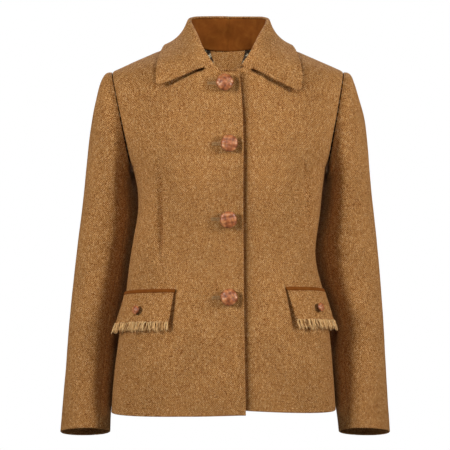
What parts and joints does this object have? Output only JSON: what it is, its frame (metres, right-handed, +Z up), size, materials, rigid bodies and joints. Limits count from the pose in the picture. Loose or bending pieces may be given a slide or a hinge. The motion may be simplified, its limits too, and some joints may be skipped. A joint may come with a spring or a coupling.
{
  "type": "tweed coat",
  "caption": "Woman's hip-length tweed coat in its worn shape, hollow and open at neck, hem and cuffs, with turn-down collar, knot buttons and fringed pocket flaps.",
  "frame": {"origin": "inside the neck opening, on the centre line and level with the middle of the shoulder seams", "axes": "+Z up, -Y out of the coat's front, +X to the wearer's left"},
  "size_m": [0.5524, 0.2625, 0.7146],
  "materials": {
    "tweed": "tan and brown wool tweed with a fine diagonal weave, matt",
    "suede": "dark tan suede, matt nap",
    "knot_leather": "tan smooth leather straps plaited into a knot, low sheen",
    "yarn": "frayed straw-coloured wool yarn",
    "lining": "dark printed lining with small cream flowers, faint sheen"
  },
  "bodies": {
    "root": {"front_right": "tweed", "front_left": "tweed", "back_right": "tweed", "back_left": "tweed", "sleeve_right_top": "tweed", "sleeve_right_under": "tweed", "sleeve_left_top": "tweed", "sleeve_left_under": "tweed", "collar_fall": "tweed", "collar_stand": "suede", "back_neck_facing": "tweed", "neck_lining": "lining", "pocket_flap_right": "tweed", "pocket_flap_left": "tweed", "pocket_piping_right": "suede", "pocket_piping_left": "suede", "flap_fringe_right": "yarn", "flap_fringe_left": "yarn", "flap_button_right": "knot_leather", "flap_button_left": "knot_leather", "front_button_1": "knot_leather", "front_button_2": "knot_leather", "front_button_3": "knot_leather", "front_button_4": "knot_leather"}
  },
  "joints": []
}
